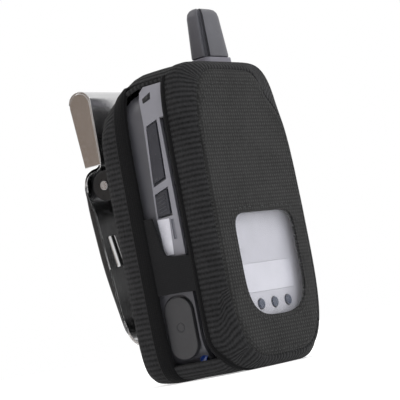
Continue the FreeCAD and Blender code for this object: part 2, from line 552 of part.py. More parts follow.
COIL_OUTER, COIL_INNER = 3.1, 1.9
coil = slab("Coil", "X", -8, 8, [
    ("disc", "pivot_y", "pivot_z", COIL_OUTER), ("disc", "pivot_y", "pivot_z", COIL_INNER)])
legs = [
    slab("LowerLeg", "X", -8, -7, [("polygon", [(26.2, 67.4), (20.2, 55), (21.2, 54.6), (27.2, 67)])]),
    slab("UpperLeg", "X", 7, 8, [("polygon", [(30.6, 66.8), (33.3, 56), (34.2, 56.2), (31.6, 67.2)])])]
part("clip_spring", fuse("ClipSpring", [coil] + legs))

rivets = []
for x, z in RIVETS:
    rivets.append(fuse("Rivet", [
        slab("RivetShank", "Y", 14.9, 20.5, [("disc", x, z, RIVET_RADIUS)]),
        slab("OuterHead", "Y", "case_back + plate_thick", 20.6, [("disc", x, z, 3)]),
        slab("InnerHead", "Y", 15, "case_back - fabric", [("disc", x, z, 3.5)])]))
part("clip_rivets", doc.addObject("Part::Compound", "ClipRivets")).Links = rivets

# ---- check and write ----------------------------------------------------------------------------

doc.recompute()
for thing in doc.Objects:
    if "Invalid" in thing.State or "Error" in thing.State:
        raise RuntimeError("%s did not recompute: %s" % (thing.Label, thing.State))

os.makedirs("parts", exist_ok=True)
for node, thing in nodes.items():
    shape = thing.Shape
    if shape.isNull() or not shape.isValid() or not shape.Solids:
        raise RuntimeError("%s has no valid solid" % node)
    shape.exportStep("parts/%s.step" % node)
print(len(nodes), "pieces written")
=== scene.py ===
# %% [markdown]
# # A folding radio handset in its carry case
# This lesson dresses a finished engineering model. The frame already holds every hard part and every joint,
# in metres, with the front facing -Y and +Z up. Blender adds what engineering drawings leave out: sewn
# fabric, bent and polished steel, moulded plastic, light and a camera.

# %% Load the frame
import math
import bmesh
import bpy
from mathutils import Matrix, Vector
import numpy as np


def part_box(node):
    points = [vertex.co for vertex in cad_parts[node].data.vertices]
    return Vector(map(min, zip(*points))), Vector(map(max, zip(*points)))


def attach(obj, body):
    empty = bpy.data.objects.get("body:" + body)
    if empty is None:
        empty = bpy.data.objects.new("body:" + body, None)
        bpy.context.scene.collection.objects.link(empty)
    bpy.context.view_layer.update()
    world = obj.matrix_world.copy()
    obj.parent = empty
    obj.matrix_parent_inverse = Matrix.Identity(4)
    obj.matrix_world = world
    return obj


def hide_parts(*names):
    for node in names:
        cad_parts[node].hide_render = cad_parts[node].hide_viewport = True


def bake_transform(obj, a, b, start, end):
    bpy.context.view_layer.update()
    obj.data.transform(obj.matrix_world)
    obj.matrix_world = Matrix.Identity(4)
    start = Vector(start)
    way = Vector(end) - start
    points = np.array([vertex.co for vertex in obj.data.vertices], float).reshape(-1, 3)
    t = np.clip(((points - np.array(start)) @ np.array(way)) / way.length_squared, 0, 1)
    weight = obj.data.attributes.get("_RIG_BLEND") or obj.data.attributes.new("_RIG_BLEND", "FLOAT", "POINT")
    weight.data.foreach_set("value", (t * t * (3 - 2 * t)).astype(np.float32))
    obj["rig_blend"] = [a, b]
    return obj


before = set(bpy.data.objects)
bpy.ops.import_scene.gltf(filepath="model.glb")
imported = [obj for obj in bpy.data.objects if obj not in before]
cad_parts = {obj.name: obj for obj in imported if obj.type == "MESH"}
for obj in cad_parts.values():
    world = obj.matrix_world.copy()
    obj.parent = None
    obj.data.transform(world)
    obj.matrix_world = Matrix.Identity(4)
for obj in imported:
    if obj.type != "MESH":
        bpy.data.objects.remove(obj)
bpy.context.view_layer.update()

MM = 0.001

# %% [markdown]
# Each new piece starts life as a bmesh, so one helper turns a bmesh into an object: it points the faces
# outwards, shades them smooth below a set angle, gives thickness and rounded edges, and lets the piece ride
# on its body.

# %% Turning a bmesh into a piece


def finished(name, bm, material, body=None, crease=35, thickness=0, offset=-1, bevel=0):
    """Makes the object. The wall's thickness comes first and then the bevel, both in metres."""
    bmesh.ops.recalc_face_normals(bm, faces=bm.faces)
    mesh = bpy.data.meshes.new(name)
    bm.to_mesh(mesh)
    bm.free()
    piece = bpy.data.objects.new(name, mesh)
    bpy.context.scene.collection.objects.link(piece)
    mesh.materials.append(material)
    for face in mesh.polygons:
        face.use_smooth = True
    mesh.set_sharp_from_angle(angle=math.radians(crease))
    if thickness:
        wall = piece.modifiers.new("Wall", "SOLIDIFY")
        wall.thickness = thickness
        wall.offset = offset
        # Even thickness grows spikes where a bending wall folds on itself, so only a piece that is given to
        # the handset or the cover right here has it.
        wall.use_even_offset = body in ("handset", "cover")
    if bevel:
        edge = piece.modifiers.new("Edge", "BEVEL")
        edge.width = bevel
        edge.segments = 3
        edge.limit_method = "ANGLE"
        edge.angle_limit = math.radians(40)
        edge.harden_normals = True
    if body:
        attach(piece, body)
    print(name, len(mesh.polygons), "faces")
    return piece


def verts_of(made):
    return [g for g in made if isinstance(g, bmesh.types.BMVert)]


def edges_of(made):
    return [g for g in made if isinstance(g, bmesh.types.BMEdge)]


def turned(bm, verts, degrees, axis):
    """Turns verts about an axis through the origin."""
    bmesh.ops.rotate(bm, verts=verts, cent=(0, 0, 0), matrix=Matrix.Rotation(math.radians(degrees), 3, axis))


def lay_flat_uv(bm, across, up):
    """UV map in millimetres straight from two of the coordinates, for flat pieces."""
    uv = bm.loops.layers.uv.new("UVMap")
    for face in bm.faces:
        for loop in face.loops:
            loop[uv].uv = (loop.vert.co[across] / MM, loop.vert.co[up] / MM)


# %% [markdown]
# ## Finishes
# Real surfaces are never one flat colour. Moulded plastic has a fine grain and faint uneven gloss, so its
# finish mixes a little noise into the roughness and into a bump. A Bevel node rounds the light on sharp
# edges, which is how a moulded part differs from a sawn one.

# %% A base for every finish


def new_finish(name):
    material = bpy.data.materials.new(name)
    material.use_nodes = True
    tree = material.node_tree
    return material, tree, tree.nodes["Principled BSDF"]


def noise(tree, scale, detail=3):
    place = tree.nodes.new("ShaderNodeTexCoord")
    texture = tree.nodes.new("ShaderNodeTexNoise")
    texture.inputs["Scale"].default_value = scale
    texture.inputs["Detail"].default_value = detail
    tree.links.new(place.outputs["Object"], texture.inputs["Vector"])
    return texture.outputs["Fac"]


def remap(tree, value, before, after=(0, 1)):
    """Maps one range of values onto another."""
    node = tree.nodes.new("ShaderNodeMapRange")
    node.inputs["From Min"].default_value, node.inputs["From Max"].default_value = before
    node.inputs["To Min"].default_value, node.inputs["To Max"].default_value = after
    tree.links.new(value, node.inputs["Value"])
    return node.outputs["Result"]


def spread(tree, value, low, high):
    """Maps 0.3-0.7, where noise mostly lies, to low-high."""
    return remap(tree, value, (0.3, 0.7), (low, high))


def two_tone(tree, factor, dark, light):
    node = tree.nodes.new("ShaderNodeMix")
    node.data_type = "RGBA"
    node.inputs["A"].default_value = (*dark, 1)
    node.inputs["B"].default_value = (*light, 1)
    tree.links.new(factor, node.inputs["Factor"])
    return node.outputs["Result"]


def raised(tree, shader, height, depth, edge=0):
    """A bump of that depth in metres, with light rounded over edges of that radius."""
    bump = tree.nodes.new("ShaderNodeBump")
    bump.inputs["Distance"].default_value = depth
    bump.inputs["Strength"].default_value = 1
    tree.links.new(height, bump.inputs["Height"])
    if edge:
        soft = tree.nodes.new("ShaderNodeBevel")
        soft.samples = 4
        soft.inputs["Radius"].default_value = edge
        tree.links.new(soft.outputs["Normal"], bump.inputs["Normal"])
    tree.links.new(bump.outputs["Normal"], shader.inputs["Normal"])


def shade(colour, factor):
    return tuple(channel * factor for channel in colour)


# %% [markdown]
# Plastic, paint and metal differ only in colour, gloss, depth of grain and how metallic they are.

# %% Moulded plastic, paint and metal
CLOUDS, SMEARS, GRAIN = 160, 900, 5200


def moulded(name, colour, roughness=0.45, metallic=0.0, grain=0.00003, edge=0.0003, mottle=0.12, coat=0.0):
    material, tree, shader = new_finish(name)
    shader.inputs["Metallic"].default_value = metallic
    shader.inputs["Coat Weight"].default_value = coat
    cloudy = noise(tree, CLOUDS)
    tree.links.new(two_tone(tree, cloudy, shade(colour, 1 - mottle), shade(colour, 1 + mottle)),
                   shader.inputs["Base Color"])
    uneven = spread(tree, noise(tree, SMEARS), roughness - 0.06, roughness + 0.06)
    tree.links.new(uneven, shader.inputs["Roughness"])
    raised(tree, shader, noise(tree, GRAIN, 2), grain, edge)
    return material


HOUSING = moulded("housing_plastic", (0.07, 0.07, 0.08), 0.4)
SILVER = moulded("silver_paint", (0.25, 0.252, 0.285), 0.36, metallic=0.25, grain=0.00001, edge=0.00025)
LIGHT_PATCH = moulded("light_patch", (0.58, 0.58, 0.64), 0.25, grain=0.00001, edge=0.0002, mottle=0.2,
                      coat=0.5)
COVER_SILVER = moulded("cover_paint", (0.44, 0.44, 0.49), 0.34, metallic=0.1, grain=0.00001, edge=0.00035)
KEY_GREY = moulded("key_plastic", (0.035, 0.037, 0.046), 0.22, edge=0, mottle=0.3)
KEY_BLUE = moulded("small_key_plastic", (0.012, 0.025, 0.06), 0.35, grain=0.000002, edge=0)
RUBBER = moulded("socket_rubber", (0.03, 0.03, 0.033), 0.55, grain=0.00005, edge=0.0006)
AERIAL = moulded("aerial_plastic", (0.07, 0.07, 0.082), 0.4, edge=0.0004)
COLLAR = moulded("collar_plastic", (0.15, 0.145, 0.175), 0.4, edge=0.0004)
BLACK = moulded("black_plastic", (0.018, 0.018, 0.02), 0.5)
BOARD = moulded("board_mask", (0.02, 0.14, 0.06), 0.35, mottle=0.3)
STEEL = moulded("plain_steel", (0.5, 0.5, 0.51), 0.3, metallic=1.0)
SPRING = moulded("spring_steel", (0.3, 0.3, 0.31), 0.35, metallic=1.0)
LACQUER = moulded("black_lacquer", (0.015, 0.015, 0.016), 0.32, metallic=0.3)
BRASS = moulded("brass_sleeve", (0.7, 0.5, 0.2), 0.3, metallic=1.0)
WRAP = moulded("battery_wrap", (0.03, 0.03, 0.036), 0.4)
GLASS = moulded("display_glass", (0.03, 0.035, 0.04), 0.08, grain=0.000002, edge=0.0002, coat=1.0)
LIGHT_GLASS = moulded("small_display_glass", (0.52, 0.52, 0.58), 0.18, grain=0.000002, edge=0.0003, coat=0.6)
POLISHED = moulded("polished_plate", (0.6, 0.6, 0.605), 0.17, metallic=1.0, grain=0.000004, edge=0.0004,
                   mottle=0.08)
print(len(bpy.data.materials), "finishes so far")

# %% [markdown]
# ## Fabric finishes
# The case's front is plain-woven nylon, its edges are ribbed elastic webbing, and the side panels are
# smooth elastic. A plain weave is two sets of threads that pass over and under each other, so its height is
# the product of two waves. Webbing has one set of ribs across its width, which must follow the strip round
# corners, so it reads the strip's own UV map, laid out in millimetres.

# %% Woven nylon and ribbed webbing
FUZZ, WEAR = 1400, 90


def sums(tree, operation, *values):
    """One step of arithmetic on sockets or numbers."""
    node = tree.nodes.new("ShaderNodeMath")
    node.operation = operation
    for socket, value in zip(node.inputs, values):
        if isinstance(value, (int, float)):
            socket.default_value = value
        else:
            tree.links.new(value, socket)
    return node.outputs[0]


def wave(tree, source, pitch):
    """A sine that repeats at every pitch along one coordinate."""
    return sums(tree, "SINE", sums(tree, "MULTIPLY", source, 2 * math.pi / pitch))


def cloth(name, colour, u_pitch, v_pitch, depth, contrast, rib=False):
    """Threads at those pitches in millimetres, on the piece's UV map."""
    material, tree, shader = new_finish(name)
    place = tree.nodes.new("ShaderNodeUVMap")
    parts = tree.nodes.new("ShaderNodeSeparateXYZ")
    tree.links.new(place.outputs["UV"], parts.inputs[0])
    across = wave(tree, parts.outputs["X"], u_pitch)
    along = wave(tree, parts.outputs["Y"], v_pitch)
    if rib:
        height = remap(tree, sums(tree, "ADD", across, spread(tree, along, 0, 0.2)), (-1, 1.6))
    else:
        both = sums(tree, "ADD", across, along)
        height = remap(tree, sums(tree, "ADD", both, sums(tree, "MULTIPLY", across, along)), (-1.2, 3))
    height = sums(tree, "ADD", height, spread(tree, noise(tree, FUZZ), 0, 0.5))
    cloudy = spread(tree, noise(tree, WEAR), -0.12, 0.12)
    # The colour follows the height: the hollows between threads are painted shade, darker, with random wear
    # tone on top.
    shade_and_wear_tone = sums(tree, "ADD", remap(tree, height, (0, 1.3)), cloudy)
    tree.links.new(two_tone(tree, shade_and_wear_tone, shade(colour, 1 - contrast), shade(colour, 1 + contrast)),
                   shader.inputs["Base Color"])
    shader.inputs["Roughness"].default_value = 0.9
    shader.inputs["Specular IOR Level"].default_value = 0.12
    shader.inputs["Sheen Weight"].default_value = 0.03
    shader.inputs["Sheen Roughness"].default_value = 0.5
    raised(tree, shader, height, depth)
    return material


WOVEN = cloth("woven_nylon", (0.027, 0.027, 0.027), 1.3, 1.15, 0.0002, 0.5)
RIBBED = cloth("ribbed_webbing", (0.018, 0.018, 0.019), 1.7, 1.1, 0.00028, 0.7, rib=True)
SMOOTH = cloth("smooth_elastic", (0.011, 0.011, 0.012), 0.6, 0.6, 0.00005, 0.25)
# The binding is near black: a real black tape that also paints the shade along the case's openings.
BINDING_AND_SHADE = cloth("edge_binding_and_painted_shade", (0.004, 0.004, 0.0045), 0.8, 0.8, 0.00008, 0.3)
THREAD = moulded("black_thread", (0.012, 0.012, 0.013), 0.6, edge=0)
print("fabric finishes:", [finish.name for finish in (WOVEN, RIBBED, SMOOTH, BINDING_AND_SHADE, THREAD)])

# %% [markdown]
# The clear window is soft vinyl. It lets almost all light through, shines a little, and is faintly hazy.

# %% Clear vinyl
VINYL, vinyl_tree, vinyl_shader = new_finish("clear_vinyl")
vinyl_shader.inputs["Base Color"].default_value = (0.7, 0.7, 0.74, 1)
vinyl_shader.inputs["Alpha"].default_value = 0.045
raised(vinyl_tree, vinyl_shader, noise(vinyl_tree, 45, 1), 0.00006)
haze = spread(vinyl_tree, noise(vinyl_tree, 200), 0.06, 0.16)
vinyl_tree.links.new(haze, vinyl_shader.inputs["Roughness"])
print("the vinyl hides", vinyl_shader.inputs["Alpha"].default_value, "of what is behind it")

# %% [markdown]
# ## Finishes for the hard parts that keep their shape
# The engineering parts that show already have the right shape, so they only swap their plain material.

# %% Dressing the frame's own parts
DRESS = {
    HOUSING: ["rear_housing", "front_housing", "battery_door", "flip_inner_shell"],
    SILVER: ["left_side_frame"],
    COVER_SILVER: ["flip_outer_shell"],
    KEY_GREY: ["volume_rocker", "talk_key"] + [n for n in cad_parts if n.startswith("key_")],
    KEY_BLUE: ["small_key_1", "small_key_2", "small_key_3"],
    RUBBER: ["connector_cover", "keypad_mat"],
    AERIAL: ["antenna_cap"],
    COLLAR: ["antenna_collar"],
    BLACK: ["accessory_connector", "loudspeaker", "earpiece"],
    BOARD: ["main_board", "flip_board"],
    STEEL: ["radio_shield", "card_holder", "vibration_motor", "antenna_whip", "housing_screws", "hinge_pins",
            "clip_pin"],
    SPRING: ["clip_spring"],
    LACQUER: ["clip_base", "clip_rivets"],
    BRASS: ["antenna_socket"],
    WRAP: ["battery_pack"],
    GLASS: ["large_display", "large_display_lens"],
    LIGHT_GLASS: ["small_display"],
    POLISHED: ["clip_lever"],
}
for finish, names in DRESS.items():
    for name in names:
        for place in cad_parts[name].material_slots:
            place.material = finish
print(sum(len(names) for names in DRESS.values()), "frame parts dressed")

# %% [markdown]
# ## The case's outline
# Seen from the front the case is a soft rectangle: a superellipse, a curve between an ellipse and a
# rectangle, gives its flat sides and wide corners with one exponent. It narrows a little towards the top,
# and its top slopes down towards the back.

# %% The outline
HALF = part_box("case_back_panel")[1][0]
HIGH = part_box("case_top_hinge")[1][2]
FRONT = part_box("case_front_panel")[0][1]
TURNS = 720


def signed_power(value, power):
    return math.copysign(abs(value) ** power, value)


def share(value, low, high):
    """0 at low, 1 at high, smooth in between."""
    part = min(max((value - low) / (high - low), 0), 1)
    return part * part * (3 - 2 * part)


def outline(turn, inset=0.0, y=0.0):
    """A point at that turn (0 to 1, from the base's middle towards +X), that far inside, at that depth."""
    angle = 2 * math.pi * turn
    rise = (1 - math.cos(angle)) / 2
    # The base's corners are rounder on the cover than behind, and the top's are fullest over the hinge.
    over_hinge = share(y, -0.0175, -0.0125) * (1 - 0.75 * share(y, 0, 0.016))
    if rise > 0.5:
        square = 5 + (2.5 if turn > 0.5 else 1.5) * over_hinge
    else:
        square = 3.9 + 4.6 * share(y, -0.0165, -0.007)
    x = (HALF - inset) * signed_power(math.sin(angle), 2 / square)
    z = -(HIGH / 2 - inset) * signed_power(math.cos(angle), 2 / square) + HIGH / 2
    x *= 1 - (0.02 + 0.07 * share(-y, 0.013, 0.0185)) * max(0, (z / HIGH - 0.5) / 0.5) ** 1.5
    slope = 32 * max(0, y - 0.002) ** 2 * max(0, rise - 0.5) * 2
    return Vector((x, y, z - slope))


RULER = [outline(step / TURNS) for step in range(TURNS + 1)]
LENGTHS = [0.0]
for here, there in zip(RULER, RULER[1:]):
    LENGTHS.append(LENGTHS[-1] + (there - here).length)
print("round the case is %.0f mm" % (LENGTHS[-1] / MM))

# %% [markdown]
# A ring of edges on that outline is extruded step by step to make a strip. Every vertex remembers its turn
# and its distance across the strip, and those become the UV map that the webbing's ribs follow.

# %% Extruding strips from the outline
SEGMENTS = 180


def ring_on_outline(bm, profile_point, shape=outline):
    """A circle of edges moved onto a closed shape, with its turns stored on its vertices."""
    inset, y = profile_point
    turns = bm.verts.layers.float.new("turn")
    across = bm.verts.layers.float.new("across")
    verts = bmesh.ops.create_circle(bm, segments=SEGMENTS, radius=1)["verts"]
    for i, vert in enumerate(verts):
        vert[turns] = i / SEGMENTS
        vert[across] = 0
        vert.co = shape(vert[turns], inset, y)
    return list(bm.edges)


def extrude_ring(bm, ring, place):
    """Extrudes a ring of edges and moves each new vertex to place(turn). Returns the new ring."""
    turns = bm.verts.layers.float["turn"]
    across = bm.verts.layers.float["across"]
    before = {v: v.co.copy() for e in ring for v in e.verts}
    made = bmesh.ops.extrude_edge_only(bm, edges=ring)["geom"]
    for vert in verts_of(made):
        start = [e.other_vert(vert) for e in vert.link_edges if e.other_vert(vert) in before][0]
        vert[turns] = start[turns]
        vert.co = place(start[turns])
        vert[across] = start[across] + (vert.co - before[start]).length
    return edges_of(made)


def run_at(point, turn):
    """How far round the case a point is: its nearest place on the outline, looked for near its turn."""
    best = (1, 0)
    nearby = 24
    for step in range(round(turn * TURNS) - nearby, round(turn * TURNS) + nearby):
        here, there = RULER[step % TURNS], RULER[step % TURNS + 1]
        along = there - here
        part = min(max((point - here).dot(along) / along.length_squared, 0), 1)
        miss = here + along * part - point
        lap = LENGTHS[-1] * (step // TURNS)
        best = min(best, (miss.x ** 2 + miss.z ** 2, lap + LENGTHS[step % TURNS] + part * along.length))
    return best[1]


def lay_uv(bm):
    """U runs along the outline and V across the strip, both in millimetres."""
    turns = bm.verts.layers.float["turn"]
    across = bm.verts.layers.float["across"]
    runs = {vert: run_at(vert.co, vert[turns]) for vert in bm.verts}
    uv = bm.loops.layers.uv.new("UVMap")
    for face in bm.faces:
        high = max(runs[v] for v in face.verts)
        for loop in face.loops:
            # A face across the outline's start has runs from both ends, so the low ones go round once more.
            run = runs[loop.vert]
            run += LENGTHS[-1] if high - run > LENGTHS[-1] / 2 else 0
            loop[uv].uv = (run / MM, loop.vert[across] / MM)


def cover_outline(turn, inset=0.0, y=0.0):
    """The outline on the cover. Its open edge sweeps forwards at the foot, its seam cuts the top corner."""
    foot = 1 - share(outline(turn, inset, y).z, 0, 12 * MM)
    point = outline(turn, inset, y - 4 * MM * foot * share(y, -0.016, -0.0085))
    corner = 4 * MM * math.exp(-((turn - 0.39) / 0.075) ** 2) * share(-y, 0.0140, 0.0172)
    return point - Vector((corner, 0, corner))


def strip(profile, shape=outline):
    """A closed strip through (inset, y) steps in millimetres."""
    bm = bmesh.new()
    steps = [(inset * MM, y * MM) for inset, y in profile]
    ring = ring_on_outline(bm, steps[0], shape)
    for inset, y in steps[1:]:
        ring = extrude_ring(bm, ring, lambda turn: shape(turn, inset, y))
    lay_uv(bm)
    return bm


print("one ring has", SEGMENTS, "edges")

# %% [markdown]
# ## The ribbed strips
# The front strip rounds over from the seam at the front face to its open edge. The rear strip does the same
# at the back. Between them the case is open at both sides, and closed only by a band over the top and by
# the base.

# %% Front, rear, top and base strips
CASE_WALL = 1.3 * MM
CUT_EDGE, PRESSED_EDGE = 0.35 * MM, 0.3 * MM
# Each profile is a line of (inset, depth) places in millimetres.
FRONT_PROFILE = [(3.2, -17.2), (2.7, -17.45), (1.8, -17.1), (0.9, -16.0), (0.3, -14.4), (0, -12.4),
                 (0, -10.2), (0.2, -8.4)]
# Round the back the strip is stuffed to a soft rim, and the back panel lies lower inside it.
REAR_PROFILE = [(0.2, 8.8), (0, 10.4), (0, 13), (0, 16.4), (0.3, 18.6), (1.2, 20.1), (2.7, 20.6), (4.4, 20.1),
                (5.8, 19), (6.6, 18)]
MIDDLE_PROFILE = [(0.9, -14.2), (0.4, -11.5), (0.2, -8.4), (0.1, -5), (0.1, -1), (0.1, 3), (0.1, 6),
                  (0.2, 8.8)]
OPENING_TOP = 96.8 * MM
OPENING_LOW = 5.2 * MM
BEND_START = (0, 0.004, 0.101)
BEND_END = (0, -0.0165, 0.079)

front_strip = finished("front_strip", strip(FRONT_PROFILE, cover_outline), RIBBED, thickness=CASE_WALL,
                       bevel=CUT_EDGE)
rear_strip = finished("rear_strip", strip(REAR_PROFILE), RIBBED, thickness=CASE_WALL, bevel=CUT_EDGE)


def trimmed(bm, height, above):
    """Keeps the part of a strip above or below a height."""
    bmesh.ops.bisect_plane(
        bm, geom=bm.verts[:] + bm.edges[:] + bm.faces[:], plane_co=(0, 0, height), plane_no=(0, 0, 1),
        clear_outer=not above, clear_inner=above)
    return bm


top_band = finished("top_band", trimmed(strip(MIDDLE_PROFILE[2:]), OPENING_TOP, True), RIBBED,
                    thickness=CASE_WALL, bevel=CUT_EDGE)
base_band = finished("base_band", trimmed(strip(MIDDLE_PROFILE), OPENING_LOW, False), RIBBED,
                     thickness=CASE_WALL, bevel=CUT_EDGE)

# %% [markdown]
# ## The woven front with its window
# The woven panel fills the front strip's ring and has a window cut in it, so it is the surface between two
# closed curves: a ring on the seam, extruded inwards in small steps until it reaches the window's edge.

# %% Front panel
WINDOW_MIDDLE, WINDOW_HALF = (0.95 * MM, 32.85 * MM), (17.45 * MM, 16.85 * MM)
SEAM = (3.2 * MM, -17.2 * MM)
SEAM_DIP = 0.9 * MM
VINYL_MARGIN = 1.5 * MM


def window_edge(turn, inset=0.0, y=FRONT):
    """The window's outline: tight corners above and wide ones below."""
    angle = 2 * math.pi * turn
    square = 7.5 if math.cos(angle) < 0 else 3.4
    x = WINDOW_MIDDLE[0] + (WINDOW_HALF[0] - inset) * signed_power(math.sin(angle), 2 / square)
    z = WINDOW_MIDDLE[1] - (WINDOW_HALF[1] - inset) * signed_power(math.cos(angle), 2 / square)
    return Vector((x, y, z))


def panel_point(turn, blend):
    """From the seam (blend 0) to the window's edge (blend 1). The cloth dips at the seam."""
    seam = cover_outline(turn, *SEAM)
    point = seam.lerp(window_edge(turn), blend)
    point.y = FRONT + SEAM_DIP * math.exp(-(point - seam).length / SEAM_DIP)
    return point


bm = bmesh.new()
ring = ring_on_outline(bm, SEAM, cover_outline)
for blend in [0.02, 0.05, 0.09, 0.15, 0.23, 0.33, 0.45, 0.58, 0.7, 0.82, 0.92, 0.97, 1.0]:
    ring = extrude_ring(bm, ring, lambda turn: panel_point(turn, blend))
lay_flat_uv(bm, 0, 2)
front_panel = finished("front_panel", bm, WOVEN, thickness=CASE_WALL, bevel=PRESSED_EDGE)

bm = bmesh.new()
ring_on_outline(bm, (-VINYL_MARGIN, FRONT + SEAM_DIP), window_edge)
bmesh.ops.edgeloop_fill(bm, edges=bm.edges[:])
window = finished("window", bm, VINYL, body="cover", thickness=0.4 * MM)

# %% [markdown]
# The back panel is the same weave, filled across the rear strip's ring.

# %% Back panel
bm = bmesh.new()
BACK_RIM = (6.2 * MM, 18 * MM)
ring = ring_on_outline(bm, BACK_RIM)
for inset in (7, 8, 10, 14, 20, 26):
    ring = extrude_ring(bm, ring, lambda turn: outline(turn, inset * MM, 18.05 * MM))
bmesh.ops.edgeloop_fill(bm, edges=ring)
lay_flat_uv(bm, 0, 2)
back_panel = finished("back_panel", bm, WOVEN, body="handset", thickness=CASE_WALL)

# %% [markdown]
# The cloth that crosses the hinge bends with the cover, and the rest rides on the handset. Each piece then
# stands for the plain panel of the frame that it refines.

# %% Riding and standing in
for piece in (front_strip, front_panel, top_band):
    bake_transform(piece, "handset", "cover", start=BEND_START, end=BEND_END)
for piece in (rear_strip, base_band):
    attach(piece, "handset")
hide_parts("case_front_strip")
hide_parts("case_front_panel")
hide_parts("case_window")
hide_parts("case_rear_strip")
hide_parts("case_back_panel")
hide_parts("case_top_hinge")
print("bending with the cover:", [piece.name for piece in (front_strip, front_panel, top_band)])

# %% [markdown]
# ## Side gussets
# A smooth elastic panel joins the two halves low on each side. Its upper edge is cut to a wide notch.

# %% Gussets
ELASTIC = 0.9 * MM
GUSSET = [(9.0, 28.4), (9.0, 53.5), (5.0, 53.2), (4.2, 49), (3.2, 43.2), (2.2, 40.6), (-1, 39.8),
          (-4.9, 39.4), (-8.6, 39.2), (-8.6, 27.6), (0, 28.2)]


def gusset(side):
    bm = bmesh.new()
    bm.faces.new([bm.verts.new((side * (HALF - ELASTIC), y * MM, z * MM)) for y, z in GUSSET])
    lay_flat_uv(bm, 1, 2)
    name = "left_gusset" if side < 0 else "right_gusset"
    piece = finished(name, bm, SMOOTH, body="handset", thickness=ELASTIC, offset=0, bevel=PRESSED_EDGE)
    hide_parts("case_" + name)
    return piece


gussets = [gusset(side) for side in (-1, 1)]

# %% [markdown]
# ## Hems and binding
# Where the case is open its edges are bound with a smooth black tape, folded over them. The tape is near
# black and also paints the shade that lies along the opening's edges. Each binding is a strip on the case's
# outline again, with the fold as its profile, cut off where the band over the top begins.

# %% Binding, hem and painted shade round the openings
HEM_RADIUS = 0.8 * MM
TAPE_THICK = 0.3 * MM
TAPE_PROFILE = [(-0.12, 13.0), (-0.2, 12.6), (-0.2, 10.4), (-0.15, 9.2), (0.15, 8.4), (0.75, 8.1), (1.3, 8.5),
                (1.6, 9.4), (1.6, 11)]
COVER_TAPE = [(-0.05, -8.9), (0.0, -8.0), (0.3, -7.2), (0.9, -6.7), (1.5, -7.1), (1.8, -8.0), (1.8, -9.5)]

# The rear binding is partly black tape and partly painted shade inside the opening's edge.
rear_binding_and_shade = finished("rear_binding_and_shade", trimmed(strip(TAPE_PROFILE), OPENING_TOP, False), BINDING_AND_SHADE,
                        body="handset", thickness=TAPE_THICK, offset=0)

# The cover's hem is black tape that reaches back over the handset: partly binding, partly painted shade at
# the cover's open edge.
front_hem_and_shade = finished("front_hem_and_shade", trimmed(strip(COVER_TAPE, cover_outline), OPENING_TOP, False), BINDING_AND_SHADE,
                     thickness=TAPE_THICK, offset=0)
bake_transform(front_hem_and_shade, "handset", "cover", start=BEND_START, end=BEND_END)


def top_hem(side):
    """The hem along the top band's side, from the rear strip forward to the cover."""
    bm = bmesh.new()
    ring = bmesh.ops.create_circle(bm, segments=10, radius=HEM_RADIUS)["verts"]
    turned(bm, ring, 90, "X")
    edges = list(bm.edges)
    left = range(TURNS // 2 + 1, TURNS - 1)
    turn = min(left, key=lambda step: abs(RULER[step].z - OPENING_TOP)) / TURNS
    if side > 0:
        turn = 1 - turn
    places = [outline(turn, 0.9 * MM, y * MM) for y in (9.6, 7, 4, 1, -2, -5, -9.2)]
    bmesh.ops.translate(bm, verts=ring, vec=places[0])
    for before, after in zip(places, places[1:]):
        made = bmesh.ops.extrude_edge_only(bm, edges=edges)["geom"]
        bmesh.ops.translate(bm, verts=verts_of(made), vec=after - before)
        edges = edges_of(made)
    bmesh.ops.holes_fill(bm, edges=bm.edges, sides=12)
    lay_flat_uv(bm, 1, 0)
    piece = finished("top_hem_left" if side < 0 else "top_hem_right", bm, RIBBED)
    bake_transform(piece, "handset", "cover", start=BEND_START, end=BEND_END)
    return piece


top_hems = [top_hem(side) for side in (-1, 1)]

# %% [markdown]
# ## Stitches
# A row of black thread holds the vinyl in the window's edge, and a second row runs along the seam round the
# front. One stitch is a short capsule: a sphere stretched along the row.

# %% Stitch rows


def stitch_row(name, places, length=1.5 * MM, radius=0.22 * MM):
    """Capsules at places, each (centre, direction)."""
    bm = bmesh.new()
    for centre, direction in places:
        made = bmesh.ops.create_uvsphere(bm, u_segments=6, v_segments=4, radius=radius)["verts"]
        stretch = Matrix.Diagonal((1, 1, length / (2 * radius), 1))
        turn = direction.to_track_quat("Z", "Y").to_matrix().to_4x4()
        bmesh.ops.transform(bm, verts=made, matrix=Matrix.Translation(centre) @ turn @ stretch)
    piece = finished(name, bm, THREAD)
    return piece


def evenly(shape, spacing, samples=900):
    """Centres and directions at even spacing along a closed shape(turn)."""
    points = [shape(i / samples) for i in range(samples + 1)]
    places, travelled = [], 0
    for here, there in zip(points, points[1:]):
        travelled += (there - here).length
        if travelled >= spacing:
            places.append((here, (there - here).normalized()))
            travelled = 0
    return places


window_stitches = stitch_row("window_stitches", evenly(
    lambda turn: window_edge(turn, -1.7 * MM, FRONT - 0.05 * MM), 2.6 * MM))
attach(window_stitches, "cover")
seam_stitches = stitch_row("seam_stitches", evenly(
    lambda turn: panel_point(turn, 0.1) + Vector((0, -0.1 * MM, 0)), 2.4 * MM), radius=0.16 * MM)
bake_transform(seam_stitches, "handset", "cover", start=BEND_START, end=BEND_END)

# %% [markdown]
# ## How the cloth was cut
# The size that every piece of cloth had flat on the cutting table is worked out and printed. A ribbed strip
# was cut
# straight: it is as wide as its profile is long, and as long as its run round the case. A panel was cut to
# a curved outline, so its area is worked out too. Nothing is draped: the handset inside holds it all
# stretched.
# The narrow tapes and the stitches get no size of their own.

# %% Flat sizes


